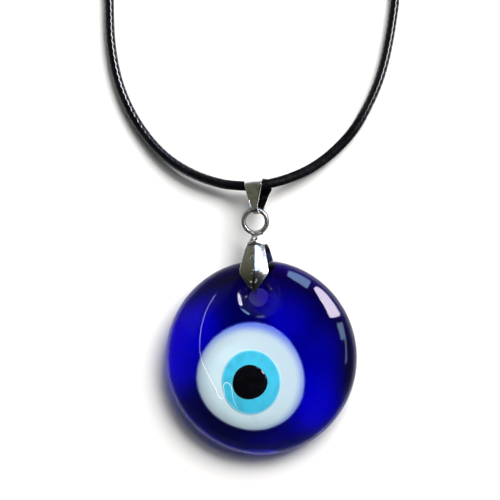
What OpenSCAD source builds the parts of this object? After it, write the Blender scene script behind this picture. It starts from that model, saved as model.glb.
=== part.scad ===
// Evil eye pendant: a domed blue glass disc with an eye of melted glass layers, a pinch bail through
// its hole, a folded bail on the pinch bail's ring, and a waxed neck cord closed by a barrel clasp.
// It lies on its back on a flat surface: +Z points up, +Y from the disc to the neck cord's clasp.
// The origin is on that surface, under the middle of the disc and the two bails.

/* [Glass disc] */
// Diameter of the disc
disc_d = 40; // [30:1:50]
// Thickness at the crown of the domed front
disc_thick = 7.5; // [6:0.25:9]
// Height that the dome would have at the rim, were the rim not rounded
rim_thick = 3.5; // [3:0.25:4.5]
// How flat the dome stays before it falls to the rim
dome_power = 3.4; // [2.5:0.1:4.5]
// Width of the rounded front edge
front_round = 1.2; // [0.8:0.1:1.6]
// Radius of the rounded back edge
back_round = 1.5; // [0.5:0.1:2]

/* [Cord hole] */
// Bore of the hole
hole_d = 4.6; // [3.5:0.1:6]
// From the top of the rim to the centre of the hole
hole_inset = 7.6; // [6:0.1:10]
// How far the hole lies to the side of the disc's middle
hole_side = -0.45; // [-1:0.05:1]
// Diameter of the hole's flared front mouth
mouth_d = 8.4; // [6.5:0.1:9.5]
// Depth of the flare
mouth_depth = 1.3; // [0.5:0.1:2]

/* [Eye] */
// Diameter of the white spot
white_d = 22.4; // [16:0.2:25]
// Diameter of the light blue iris
iris_d = 13; // [9:0.2:15]
// Diameter of the black pupil
pupil_d = 7.2; // [5:0.1:8]
// Centre of the white spot, across from the disc's middle
white_x = -2.15; // [-3:0.05:3]
// Centre of the white spot, up from the disc's middle
white_y = -4.2; // [-5:0.05:0]
// Centre of the iris, up from the white spot's centre
iris_y = -0.95; // [-1.5:0.05:1.5]
// Centre of the pupil, across from the iris's centre
pupil_x = -0.25; // [-1:0.05:1]
// Depth of the white layer under the crown
white_depth = 3; // [2.2:0.1:4]
// Depth of the iris layer under the crown
iris_depth = 1.9; // [1.5:0.1:2]
// Depth of the pupil layer under the crown
pupil_depth = 1; // [0.7:0.1:1.2]
// Gap between one layer of glass and the next
layer_gap = 0.03; // [0.02:0.01:0.05]
// How much the white spot's outline wanders from a circle
white_wander = 0.19; // [0:0.01:0.4]
// How much the iris stands taller than it is wide
iris_wander = 0.33; // [0:0.01:0.5]
// How much the pupil's outline wanders from a circle
pupil_wander = 0.06; // [0:0.01:0.2]

/* [Pinch bail] */
// Inner diameter of the ring
ring_in_d = 4; // [3.4:0.1:5]
// Thickness of the ring's wire
ring_wire = 0.86; // [0.7:0.02:1.1]
// From the hole's centre up to the ring's centre
ring_up = 16.2; // [15:0.1:19]
// From the hole's centre up to the collar where the prongs part
collar_up = 10.9; // [10:0.1:12]
// From the hole's centre up to the widest place of the prongs
widest_up = 5.3; // [4:0.1:6.5]
// From the hole's centre up to the prongs' tips
tip_up = 1.15; // [1:0.05:1.3]
// Width of the neck under the ring
neck_w = 1.3; // [1:0.1:2]
// Width of the collar
collar_w = 3.4; // [2.6:0.1:4]
// Width of the prongs at their widest place
prong_w = 6.2; // [5:0.1:7.5]
// Thickness of the prongs at their edges
prong_thick = 0.5; // [0.4:0.05:0.8]
// Height of the ridge along the middle of each prong
ridge_h = 0.8; // [0.4:0.05:1]
// Height of the bail's middle above the disc's flat back
bail_lift = 2.6; // [2.4:0.1:3]
// Bail's middle, across from the disc's middle
bail_side = -1.25; // [-1.5:0.05:1]
// Gap between the front prong and the dome at the prong's widest place
front_gap = 0.6; // [0.4:0.05:1]
// Gap between the back prong and the flat back at the prong's widest place
back_gap = 0.7; // [0.6:0.05:1]
// Gap between each prong's tip and the glass
tip_gap = 0.35; // [0.2:0.05:0.6]
// How far the front prong is bent to the left
front_bend = 0.4; // [0:0.05:0.4]
// How far the back prong is bent to the right
back_bend = 0.35; // [0:0.05:0.6]
// Diameter of the pegs at the prongs' tips
peg_d = 0.7; // [0.5:0.05:0.7]
// How far each peg reaches into the hole from the prong's tip
peg_len = 3; // [2:0.1:3.2]

/* [Folded bail] */
// Width of the strip at its top fold
strip_top_w = 4.1; // [3:0.1:5]
// Width of the strip where it passes through the ring
strip_low_w = 1.3; // [0.9:0.1:1.5]
// Thickness of the strip
strip_thick = 0.3; // [0.24:0.02:0.4]
// Inner diameter of the top fold, around the cord
fold_in_d = 3.4; // [3.4:0.1:4]
// Inner diameter of the low fold, around the ring's wire
low_in_d = 1.6; // [1.5:0.05:2]
// Distance between the centres of the two folds
fold_rise = 4.7; // [4:0.1:5.5]
// How far the bail slopes down towards the cord
slope = 20; // [15:1:24]
// How far the bail is turned about its own length
turn = 15; // [0:1:16]

/* [Clasp] */
// Length of the clasp between the two cord ends
clasp_len = 24; // [20:1:28]
// Diameter of the barrel
barrel_d = 4.6; // [4:0.1:6]
// Length of the barrel
barrel_len = 12; // [8:0.5:16]
// Diameter of the caps that hold the cord ends
cap_d = 3.4; // [2.8:0.1:3.8]
// Rounding of the barrel's and the caps' edges
clasp_round = 0.5; // [0.2:0.1:0.6]

/* [Cord] */
// Diameter of the waxed cord
cord_d = 2; // [1.5:0.1:2]

/* [Hidden] */
$fn = 64;

disc_r = disc_d / 2;
hole_r = hole_d / 2;
hole_y = disc_r - hole_inset;

// Height of the domed front above the flat back, at a distance r from the disc's axis
function front_z(r) = disc_thick - (disc_thick - rim_thick) * pow(r / disc_r, dome_power);
// Steepness of the dome there, in degrees
function front_tilt(r) =
    atan((disc_thick - rim_thick) * dome_power / disc_r * pow(r / disc_r, dome_power - 1));

dome_r = disc_r - front_round;
edge_tilt = front_tilt(dome_r);
edge_r = front_round / (1 - sin(edge_tilt));
edge_z = front_z(dome_r) - edge_r * cos(edge_tilt);
back_r = min(back_round, edge_z - 0.1);

// The bail's prongs: y from the disc's axis, and heights from the bail's middle
ring_y = hole_y + ring_up;
collar_y = hole_y + collar_up;
widest_y = hole_y + widest_up;
tip_y = hole_y + tip_up;
ring_r = (ring_in_d + ring_wire) / 2;
front_widest_z = front_z(widest_y) + front_gap - bail_lift;
front_tip_z = front_z(tip_y) + tip_gap - bail_lift;
back_widest_z = bail_lift + back_gap;
back_tip_z = bail_lift + tip_gap;
root_z = 0.45;
root_in = 0.4;
root_sink = 0.1;
collar_z = root_z + prong_thick + ridge_h;
collar_step = 0.25;
neck_z = 0.42 * ring_wire;
tip_w = 0.24;
tip_ridge = 0.15;
peg_y = hole_y + 1.4;

// The pendant leans on the ridge of its back prong and on the lower rim of the glass
prop_h = back_widest_z + prong_thick + ridge_h - bail_lift;
lean_a = prop_h + back_r;
lean_b = widest_y + disc_r - back_r;
lean = acos(back_r / norm([lean_a, lean_b])) - atan2(lean_b, lean_a);
lift = (disc_r - back_r) * sin(lean) - back_r * cos(lean) + back_r;

// The folded bail turns about the top wire of the ring
fold_r = fold_in_d / 2 + strip_thick;
low_r = low_in_d / 2 + strip_thick;
wire_y = ring_y + ring_r;
low_side = -((disc_r - edge_r) * cos(lean) + edge_z * sin(lean) + edge_r);
high_side = wire_y * cos(lean) - bail_lift * sin(lean) + fold_rise * cos(slope) + fold_r;
disc_y = -(low_side + high_side) / 2;

// The clasp's middle, and the cord's route from one of its ends to the other. Columns: x, y and
// the height that the cord is raised above where it would lie on the surface.
clasp_x = -2;
clasp_y = 173.5;
clasp_rise = (barrel_d - cord_d) / 2;
ROUTE = [
    [clasp_x - clasp_len / 2, clasp_y, clasp_rise],
    [-18.4, 173.2, 0.8], [-23.4, 171.2, 0.3], [-27.4, 167.3, 0], [-30.2, 161.3, 0],
    [-31.6, 152.5, 0], [-32, 138.5, 0], [-32.1, 120.5, 0], [-32.1, 103, 0], [-32.1, 83, 0],
    [-31.9, 66, 0], [-31.5, 57, 0], [-30.3, 49.4, 0], [-27.9, 42.6, 0.1], [-24.2, 36.8, 0.3],
    [-19.2, 32.6, 0.7], [-13.9, 29.6, 1.3], [-8.6, 27.8, 1.8], [-4.4, 27, 2.2], [-1.4, 27.1, 2.6],
    [1.8, 27.5, 2.9], [6, 28.7, 2.7], [10.2, 30.6, 2.1], [14.4, 33.7, 1.3], [18.5, 38.2, 0.6],
    [21.7, 43.2, 0.2], [24.4, 49.4, 0], [26.2, 56.3, 0], [27.8, 66, 0], [28.2, 75, 0],
    [28.3, 90, 0], [28.3, 110, 0], [28.3, 131.5, 0], [28, 147.5, 0], [27, 158.1, 0],
    [24.4, 165.9, 0], [20.2, 170.7, 0.3], [14.6, 173.2, 0.8],
    [clasp_x + clasp_len / 2, clasp_y, clasp_rise]
];

// An eye layer's outline, grown by a gap: a circle that two slow waves pull out of round. The first
// makes it oval along oval_at, and the second gives it three blunt corners, one of them at corner_at.
function wavy(d, oval, oval_at, corner, corner_at, grow) = [
    for (a = [0 : 7.5 : 352.5])
        (d / 2 + grow + oval * cos(2 * (a - oval_at)) + corner * cos(3 * (a - corner_at))) * [cos(a), sin(a)]
];

module dome_profile() {
    polygon(concat(
        [[0, 0], [disc_r - back_r, 0]],
        [for (a = [-75 : 15 : 0]) [disc_r - back_r, back_r] + back_r * [cos(a), sin(a)]],
        [for (i = [0 : 6]) let (a = i / 6 * (90 - edge_tilt))
            [disc_r - edge_r, edge_z] + edge_r * [cos(a), sin(a)]],
        [for (i = [11 : -1 : 0]) let (r = dome_r * i / 12) [r, front_z(r)]]
    ));
}

module dome() {
    rotate_extrude() dome_profile();
}

module white_column(grow) {
    translate([white_x, white_y, disc_thick - white_depth - grow])
        linear_extrude(disc_thick) polygon(wavy(white_d, white_wander, 122, white_wander, 77, grow));
}

module iris_column(grow) {
    translate([white_x, white_y + iris_y, disc_thick - iris_depth - grow])
        linear_extrude(disc_thick) polygon(wavy(iris_d, iris_wander, 94, iris_wander / 3, 8, grow));
}

module pupil_column(grow) {
    translate([white_x + pupil_x, white_y + iris_y, disc_thick - pupil_depth - grow])
        linear_extrude(disc_thick) polygon(wavy(pupil_d, pupil_wander, 43, pupil_wander, 108, grow));
}

// Turns and lifts what is modelled flat on the disc's back into the way the pendant lies
module lay() {
    translate([0, disc_y, lift]) rotate([lean, 0, 0]) children();
}

module cord_hole() {
    translate([hole_side, hole_y, -1]) cylinder(h = disc_thick + 2, r = hole_r);
    translate([hole_side, hole_y, front_z(hole_y) - mouth_depth])
        cylinder(h = 2 * mouth_depth, r1 = hole_r, r2 = mouth_d - hole_r);
}

module glass_disc() {
    color([0.08, 0.02, 0.62]) lay() difference() {
        dome();
        white_column(layer_gap);
        cord_hole();
    }
}

module eye_white() {
    color([0.8, 0.9, 0.94]) lay() difference() {
        intersection() {
            dome();
            white_column(0);
        }
        iris_column(layer_gap);
    }
}

module eye_iris() {
    color([0.28, 0.75, 0.9]) lay() difference() {
        intersection() {
            dome();
            iris_column(0);
        }
        pupil_column(layer_gap);
    }
}

module eye_pupil() {
    color([0.03, 0.03, 0.04]) lay() intersection() {
        dome();
        pupil_column(0);
    }
}

// A solid lofted through rings of points, each ring turning the same way
module loft(rings) {
    k = len(rings[0]);
    last = k * (len(rings) - 1);
    walls = [for (i = [0 : k : last - 1], j = [0 : k - 1]) let (a = i + j, b = i + (j + 1) % k) each
        [[a, a + k, b + k], [a, b + k, b]]];
    start = [for (j = [0 : k - 1]) j];
    end = [for (j = [k - 1 : -1 : 0]) last + j];
    polyhedron([for (r = rings) each r], concat([start], walls, [end]));
}

// Columns of a section across the pinch bail: y, half width, shift across, and the heights of its
// inner face, its edges and its ridge
Y = 0;
HALF = 1;
SHIFT = 2;
INNER = 3;
EDGE = 4;
RIDGE = 5;

// The taper from the ring down to the collar, ridged on both faces
module shoulder() {
    neck = [ring_y - ring_r, neck_w / 2, 0, 0, neck_z / 2, neck_z];
    collar = [collar_y, collar_w / 2, 0, 0, collar_z - ridge_h, collar_z];
    loft([for (s = [neck, collar]) [
        [-s[HALF], s[Y], -s[EDGE]],
        [0, s[Y], -s[RIDGE]],
        [s[HALF], s[Y], -s[EDGE]],
        [s[HALF], s[Y], s[EDGE]],
        [0, s[Y], s[RIDGE]],
        [-s[HALF], s[Y], s[EDGE]]
    ]]);
}

// One prong on the bail's front, with its peg
module prong(widest_z, tip_z, bend) {
    edge = prong_thick;
    ridge = prong_thick + ridge_h;
    root_edge = root_z + edge - root_sink;
    sections = [
        [collar_y + root_in, collar_w / 2 - collar_step, 0, root_z, root_edge, collar_z - collar_step],
        [widest_y, prong_w / 2, bend, widest_z, widest_z + edge, widest_z + ridge],
        [tip_y, tip_w / 2, bend, tip_z, tip_z + edge, tip_z + edge + tip_ridge]
    ];
    loft([for (s = sections) [
        [s[SHIFT] - s[HALF], s[Y], s[INNER]],
        [s[SHIFT] + s[HALF], s[Y], s[INNER]],
        [s[SHIFT] + s[HALF], s[Y], s[EDGE]],
        [s[SHIFT], s[Y], s[RIDGE]],
        [s[SHIFT] - s[HALF], s[Y], s[EDGE]]
    ]]);
    translate([bend, peg_y, tip_z + prong_thick / 2 - peg_len]) cylinder(h = peg_len, r = peg_d / 2);
}

module pinch_bail() {
    color([0.75, 0.75, 0.74]) lay() translate([bail_side, 0, bail_lift]) {
        translate([0, ring_y, 0]) rotate_extrude() translate([ring_r, 0]) circle(ring_wire / 2);
        shoulder();
        prong(front_widest_z, front_tip_z, -front_bend);
        mirror([0, 0, 1]) prong(back_widest_z, back_tip_z, back_bend);
    }
}

// Outline round two folds, [along the bail, through it], seen along the folds' axis
function loop_outline(low, top) = let (half = 90 + asin((top - low) / fold_rise)) concat(
    [for (i = [0 : 16]) let (a = (i / 8 - 1) * half) [fold_rise, 0] + top * [cos(a), sin(a)]],
    [for (i = [0 : 8]) let (a = half + i / 8 * (360 - 2 * half)) low * [cos(a), sin(a)]]
);

module folded_bail() {
    color([0.7, 0.7, 0.66])
    lay() translate([bail_side, wire_y, bail_lift]) rotate([-slope - lean, 0, 0]) rotate([0, -turn, 0])
    intersection() {
        translate([-strip_top_w, 0, 0]) rotate([90, 0, 90]) linear_extrude(2 * strip_top_w) difference() {
            polygon(loop_outline(low_r, fold_r));
            polygon(loop_outline(low_in_d / 2, fold_in_d / 2));
        }
        translate([0, 0, -2 * fold_r]) linear_extrude(4 * fold_r) polygon([
            [-strip_low_w / 2, -2 * low_r], [strip_low_w / 2, -2 * low_r],
            [strip_low_w / 2, 0], [strip_top_w / 2, fold_rise], [strip_top_w / 2, fold_rise + 2 * fold_r],
            [-strip_top_w / 2, fold_rise + 2 * fold_r], [-strip_top_w / 2, fold_rise], [-strip_low_w / 2, 0]
        ]);
    }
}

// Quarter-round corner of a turned piece: from its end face to its side
function turned_corner(x, r, end) = [
    for (i = [0 : 4]) let (a = end > 0 ? 90 - 22.5 * i : 90 + 22.5 * (4 - i))
        [x - end * clasp_round, r - clasp_round] + clasp_round * [cos(a), sin(a)]
];

module clasp() {
    half = clasp_len / 2;
    color([0.72, 0.72, 0.72]) translate([clasp_x, clasp_y, barrel_d / 2]) rotate([0, 90, 0]) rotate_extrude()
        polygon([for (p = concat(
            [[-half, 0]], turned_corner(-half, cap_d / 2, -1), [[-barrel_len / 2, cap_d / 2]],
            turned_corner(-barrel_len / 2, barrel_d / 2, -1), turned_corner(barrel_len / 2, barrel_d / 2, 1),
            [[barrel_len / 2, cap_d / 2]], turned_corner(half, cap_d / 2, 1), [[half, 0]]
        )) [p[1], p[0]]]);
}

// A smooth curve through four route points, from the second at t = 0 to the third at t = 1
function through(a, b, c, d, t) = 0.5 * (
    2 * b + (c - a) * t + (2 * a - 5 * b + 4 * c - d) * t * t + (3 * b - a - 3 * c + d) * t * t * t
);

// A route point as a place of the cord's centre, never lower than the surface lets it lie
function lying(p) = [p[0], p[1], cord_d / 2 + max(p[2], 0)];

// The cord's centre line, with a point at most a step apart along each stretch of the route
function centre_line(route, step) = let (n = len(route)) concat(
    [for (i = [0 : n - 2])
        let (a = route[max(i - 1, 0)], b = route[i], c = route[i + 1], d = route[min(i + 2, n - 1)],
            parts = ceil(norm(c - b) / step))
        for (k = [0 : parts - 1]) lying(through(a, b, c, d, k / parts))],
    [lying(route[n - 1])]
);

function unit(v) = v / norm(v);

module neck_cord() {
    sides = 8;
    line = centre_line(ROUTE, 3 * cord_d);
    n = len(line);
    along = [for (i = [0 : n - 1]) i == 0 || i == n - 1 ? [-1, 0, 0] : unit(line[i + 1] - line[i - 1])];
    color([0.08, 0.08, 0.09]) loft([for (i = [0 : n - 1])
        let (side = unit(cross([0, 0, 1], along[i])), up = cross(along[i], side))
        [for (k = [0 : sides - 1])
            line[i] + cord_d / 2 * (cos(360 * k / sides) * side + sin(360 * k / sides) * up)]]);
}

glass_disc();
eye_white();
eye_iris();
eye_pupil();
pinch_bail();
folded_bail();
clasp();
neck_cord();
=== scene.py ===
"""Dresses the evil eye pendant: melted glass, plated bails and a braided neck cord on a white table."""

import logging
import math
from dataclasses import dataclass
from enum import Enum, auto
from typing import Callable, Iterable, NamedTuple, Sequence

import bpy
from mathutils import Matrix, Vector, noise


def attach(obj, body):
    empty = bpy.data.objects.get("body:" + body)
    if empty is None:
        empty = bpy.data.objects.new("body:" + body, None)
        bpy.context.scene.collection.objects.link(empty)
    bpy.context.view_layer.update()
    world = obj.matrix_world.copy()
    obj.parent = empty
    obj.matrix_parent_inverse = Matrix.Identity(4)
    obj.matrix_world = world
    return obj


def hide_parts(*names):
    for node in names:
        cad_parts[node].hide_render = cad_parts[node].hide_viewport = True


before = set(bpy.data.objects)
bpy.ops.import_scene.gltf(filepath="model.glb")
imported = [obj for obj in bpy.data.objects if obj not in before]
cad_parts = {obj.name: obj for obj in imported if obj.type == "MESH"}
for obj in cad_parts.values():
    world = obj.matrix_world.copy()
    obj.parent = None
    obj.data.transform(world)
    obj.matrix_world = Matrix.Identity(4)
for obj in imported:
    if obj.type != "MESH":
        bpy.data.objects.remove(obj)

LOG = logging.getLogger("pendant")
MM = 0.001
BODY = "root"
Number = float | int
Pair = tuple[float, float]
Triple = tuple[float, float, float]
Colour = tuple[float, float, float, float]
Finish = bpy.types.Material
Socket = bpy.types.NodeSocket
Rule = Callable[[int, Vector], Vector]


class Closing(Enum):
    """How a stack of rings is closed."""

    POLES = auto()
    HOOP = auto()


class Side(Enum):
    """Which side of the pinch bail's middle a prong is on."""

    FRONT = auto()
    BACK = auto()


class Zone(Enum):
    """The parts of the disc that its rings are on."""

    BACK = auto()
    SIDE = auto()
    FRONT = auto()
    LIP = auto()
    BORE = auto()


class Slot(Enum):
    """The record's material slots."""

    BLUE = "blue_glass"
    WHITE = "white_glass"
    LIGHT_BLUE = "light_blue_glass"
    BLACK = "black_glass"
    SILVER = "silver_plate"
    CORD = "waxed_cord"


# Shader graphs


class Term:
    """A value socket that Python arithmetic turns into Math nodes."""

    def __init__(self, graph: "Graph", socket: Socket) -> None:
        """Keeps the graph and the socket that the value comes from."""
        self.graph = graph
        self.socket = socket

    def _apply(self, operation: str, *values: "Term | Number") -> "Term":
        """Returns the result of a Math node with that operation, on values in order."""
        made = self.graph.node("ShaderNodeMath", {"operation": operation}, dict(enumerate(values)))
        return Term(self.graph, made.outputs[0])

    def __add__(self, other: "Term | Number") -> "Term":
        """Adds."""
        return self._apply("ADD", self, other)

    def __sub__(self, other: "Term | Number") -> "Term":
        """Subtracts."""
        return self._apply("SUBTRACT", self, other)

    def __rsub__(self, other: Number) -> "Term":
        """Subtracts from a number."""
        return self._apply("SUBTRACT", other, self)

    def __mul__(self, other: "Term | Number") -> "Term":
        """Multiplies."""
        return self._apply("MULTIPLY", self, other)

    def __truediv__(self, other: "Term | Number") -> "Term":
        """Divides."""
        return self._apply("DIVIDE", self, other)

    def __pow__(self, other: Number) -> "Term":
        """Raises to a power."""
        return self._apply("POWER", self, other)

    __radd__ = __add__
    __rmul__ = __mul__

    def sine(self) -> "Term":
        """Returns the sine."""
        return self._apply("SINE", self)

    def size(self) -> "Term":
        """Returns the value without its sign."""
        return self._apply("ABSOLUTE", self)

    def across(self, other: "Term") -> "Term":
        """Returns the distance that this value and another make at right angles."""
        return (self * self + other * other) ** 0.5

    def ramp(self, low: Number, high: Number, most: Number = 1) -> "Term":
        """Steps smoothly between two values.

        Args:
            low: Below this the result is 0.
            high: Above this it is the most.
            most: The most that it gets to.

        Returns:
            The step.
        """
        made = self.graph.node(
            "ShaderNodeMapRange",
            {"interpolation_type": "SMOOTHSTEP"},
            {"Value": self, "From Min": low, "From Max": high, "To Max": most},
        )
        return Term(self.graph, made.outputs["Result"])


class Graph:
    """The node tree of a material or a world."""

    def __init__(self, owner: Finish | bpy.types.World) -> None:
        """Starts with an empty tree.

        Args:
            owner: The material or the world.
        """
        owner.use_nodes = True
        self.owner = owner
        self.tree = owner.node_tree
        self.tree.nodes.clear()

    @classmethod
    def of(cls, name: str) -> "Graph":
        """Starts a new material of that name."""
        return cls(bpy.data.materials.new(name))

    def node(self, kind: str, settings: dict[str, object], inputs: dict[str | int, object]) -> bpy.types.Node:
        """Adds a node.

        Args:
            kind: The node's type.
            settings: What is set on the node itself, with a colour ramp's stops under "stops".
            inputs: A number, colour, socket or Term for each input, by name or place.

        Returns:
            The new node.
        """
        made = self.tree.nodes.new(kind)
        for key, value in settings.items():
            if key == "stops":
                self._set_stops(made.color_ramp, value)
            else:
                setattr(made, key, value)
        for key, value in inputs.items():
            if isinstance(value, Term):
                value = value.socket
            if isinstance(value, Socket):
                self.tree.links.new(value, made.inputs[key])
            else:
                made.inputs[key].default_value = value
        return made

    @staticmethod
    def _set_stops(ramp: bpy.types.ColorRamp, stops: Sequence[tuple[float, Triple]]) -> None:
        """Gives a colour ramp its stops.

        Args:
            ramp: The ramp.
            stops: Each stop's place and colour.
        """
        while len(ramp.elements) < len(stops):
            ramp.elements.new(0.5)
        for element, (place, colour) in zip(ramp.elements, stops):
            element.position = place
            element.color = (*colour, 1.0)

    def mix(self, factor: Term | Number, start: Colour | Socket, end: Colour | Socket) -> Socket:
        """Returns a mix of two colours, where a factor of 0 gives the first and 1 the second."""
        made = self.node("ShaderNodeMix", {"data_type": "RGBA"}, {0: factor, 6: start, 7: end})
        return made.outputs[2]

    def place(self, centre: Sequence[float] = (0, 0, 0)) -> Socket:
        """Reads the object coordinates in millimetres.

        Args:
            centre: Where they are measured from.

        Returns:
            The coordinates' socket.
        """
        coords = self.node("ShaderNodeTexCoord", {}, {}).outputs["Object"]
        offset = tuple(-value for value in centre)
        moved = self.node(
            "ShaderNodeMapping", {}, {"Vector": coords, "Location": offset, "Scale": (1 / MM,) * 3}
        )
        return moved.outputs["Vector"]

    def axes(self, vector: Socket) -> tuple[Term, Term, Term]:
        """Returns a vector's x, y and z."""
        made = self.node("ShaderNodeSeparateXYZ", {}, {0: vector})
        return tuple(Term(self, socket) for socket in made.outputs)

    def cloud(self, vector: Socket, grain: float, detail: float = 2.0) -> Term:
        """Returns a cloudy noise of about 0.5, with patches of a grain in millimetres and finer detail."""
        made = self.node("ShaderNodeTexNoise", {}, {"Vector": vector, "Scale": 1 / grain, "Detail": detail})
        return Term(self, made.outputs[0])

    def bump(self, height: Term, depth: float) -> Socket:
        """Returns the normal of a height from 0 to 1, which is a depth in millimetres deep."""
        made = self.node("ShaderNodeBump", {}, {"Height": height, "Distance": depth * MM, "Strength": 1.0})
        return made.outputs["Normal"]

    def close(self, inputs: dict[str, object], inside: bpy.types.Node | None = None) -> Finish:
        """Gives the material its shader and links it to the output.

        Args:
            inputs: The shader's inputs, by name.
            inside: The shader inside it, if any.

        Returns:
            The finished material.
        """
        shaders = {"Surface": self.node("ShaderNodeBsdfPrincipled", {}, inputs).outputs[0]}
        if inside:
            shaders["Volume"] = inside.outputs[0]
        self.node("ShaderNodeOutputMaterial", {}, shaders)
        return self.owner


# Finishes, in millimetres


@dataclass(frozen=True)
class Band:
    """A tone that sets in smoothly between two values, and how strong it gets."""

    low: float
    high: float
    most: float = 1.0

    def of(self, value: Term) -> Term:
        """Returns the tone's strength for a value."""
        return value.ramp(self.low, self.high, self.most)


@dataclass(frozen=True)
class PaintedPool:
    """A patch of painted light in the glass, or of painted shade where its paler share is below nought: its
    place and reach, and how much paler it is.
    """

    x: float
    y: float
    r: float
    paler: float


@dataclass(frozen=True)
class CobaltGlass:
    """Clear cobalt glass, poured and fire polished, with painted shade and painted light in its tint."""

    tint: Colour = (0.95, 0.95, 1.0, 1.0)
    # The deep tone is the glass's own deeper colour, and the painted shade below also darkens the tint toward
    # it.
    deep: Colour = (0.12, 0.12, 0.2, 1.0)
    # The rim tone is painted shade at the disc's very edge.
    rim: Colour = (0.07, 0.06, 0.45, 1.0)
    # Painted shade: the tint deepens toward the rim, and most on the rim's side that faces this way, toward
    # the window.
    painted_shade_deg: float = 55.0
    base_depth: float = 0.6
    edge_painted_shade: Band = Band(0.8, 0.96, 0.35)
    side_painted_shade: Band = Band(0.72, 0.92, 0.45)
    side_painted_shade_reach: Band = Band(-0.1, 0.5)
    tone: Band = Band(-0.3, 1.3)
    rim_painted_shade: Band = Band(0.94, 0.985)
    # Painted light and painted shade: paler patches where more light comes through the glass, and a deeper
    # one by the hole's mouth.
    painted_pools: tuple[PaintedPool, ...] = (
        PaintedPool(-17.5, 1.5, 12, 1.25), PaintedPool(-12.5, 9, 7.5, 0.5), PaintedPool(5.5, 8.5, 6.5, 0.6),
        PaintedPool(12, -9.5, 9.5, 0.75), PaintedPool(12, 1, 9, 0.35), PaintedPool(0, -18.5, 6, 0.1),
        PaintedPool(2.2, 12.4, 1.8, 1.1), PaintedPool(-0.4, 13.2, 4, -0.7),
    )
    pool_core: float = 0.15
    # Painted highlight: a thin bright line round the right of the hole's mouth.
    line: PaintedPool = PaintedPool(-0.23, 13.5, 4.04, 1.6)
    glint_wide: float = 0.16
    glint_right: Band = Band(2.4, 3.6)
    ripples: float = 5.0
    ripple_depth: float = 0.03
    passes: Colour = (0.6, 0.08, 0.99, 1.0)
    density: float = 1200.0
    index: float = 1.5

    def material(self) -> Finish:
        """Mixes the glass, with painted shade at its rim and on its side toward the window, patches of
        painted light and shade, and a painted highlight on the mouth's right.

        Returns:
            The material.
        """
        graph = Graph.of("cobalt_glass")
        where = graph.place(LIE.spot((0, 0, 0)))
        x, y, _ = graph.axes(where)
        reach = x.across(y) / DOME.radius
        # Painted shade: a deeper tint toward the rim all round, and on the side toward the window.
        turn = math.radians(self.painted_shade_deg)
        towards = (x * math.cos(turn) + y * math.sin(turn)) / DOME.radius
        depth = self.base_depth + self.edge_painted_shade.of(reach)
        depth = depth + self.side_painted_shade.of(reach) * self.side_painted_shade_reach.of(towards)
        # Each patch paints light, and a negative one paints shade.
        for pool in self.painted_pools:
            off = (x - pool.x).across(y - pool.y)
            depth = depth - pool.paler * (1 - off.ramp(self.pool_core * pool.r, pool.r))
        # Painted highlight on the mouth's right.
        right = x - self.line.x
        off_line = (right.across(y - self.line.y) - self.line.r).size()
        depth = depth - self.line.paler * (1 - off_line.ramp(0.0, self.glint_wide)) * self.glint_right.of(right)
        inside = graph.node("ShaderNodeVolumeAbsorption", {}, {"Color": self.passes, "Density": self.density})
        body = graph.mix(self.tone.of(depth), self.tint, self.deep)
        # Painted shade: the rim tone at the very edge.
        return graph.close({
            "Base Color": graph.mix(self.rim_painted_shade.of(reach), body, self.rim),
            "Roughness": 0.0,
            "IOR": self.index,
            "Transmission Weight": 1.0,
            "Normal": graph.bump(graph.cloud(where, self.ripples, 1.0), self.ripple_depth),
        }, inside)


@dataclass(frozen=True)
class MeltedGlass:
    """Opaque glass that was dripped onto the hot disc, with its own tone at its edge, and painted shade on
    its side toward the light and at its edge away from it.
    """

    name: str
    body: Colour
    cloudy: Colour
    edge: Colour
    centre: Triple
    radius: float
    fade: float
    clouds: float = 4.0
    tall: float = 1.0
    # upper and shade are painted shade: a darker tone on the side toward the light, and a darker edge on the
    # side away from it.
    upper: Colour | None = None
    shade: Colour | None = None
    cloud_tone: Band = Band(0.4, 0.7)
    upper_shade_tilt: float = 0.8
    upper_shade_tone: Band = Band(-1.05, 1.45)
    shade_way: Pair = (-0.94, -0.34)
    shade_side: Band = Band(-0.9, 0.5)
    shade_edge: Band = Band(0.66, 1.0)
    polish: float = 0.04
    index: float = 1.5

    def material(self) -> Finish:
        """Mixes the glass.

        Returns:
            The material.
        """
        graph = Graph.of(self.name)
        where = graph.place(LIE.spot(self.centre))
        x, y, _ = graph.axes(where)
        x, y = x / self.radius, y / (self.tall * self.radius)
        reach = x.across(y)
        colour = graph.mix(self.cloud_tone.of(graph.cloud(where, self.clouds)), self.body, self.cloudy)
        # Painted shade on the side toward the light.
        if self.upper:
            colour = graph.mix(self.upper_shade_tone.of(x + self.upper_shade_tilt * y), colour, self.upper)
        # Painted shade at the edge on the side away from the light.
        if self.shade:
            away = (x * self.shade_way[0] + y * self.shade_way[1]) / reach
            colour = graph.mix(self.shade_side.of(away) * self.shade_edge.of(reach), colour, self.shade)
        fade = self.fade / self.radius
        colour = graph.mix(reach.ramp(1 - fade, 1 + fade), colour, self.edge)
        return graph.close({"Base Color": colour, "Roughness": self.polish, "IOR": self.index})


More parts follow.
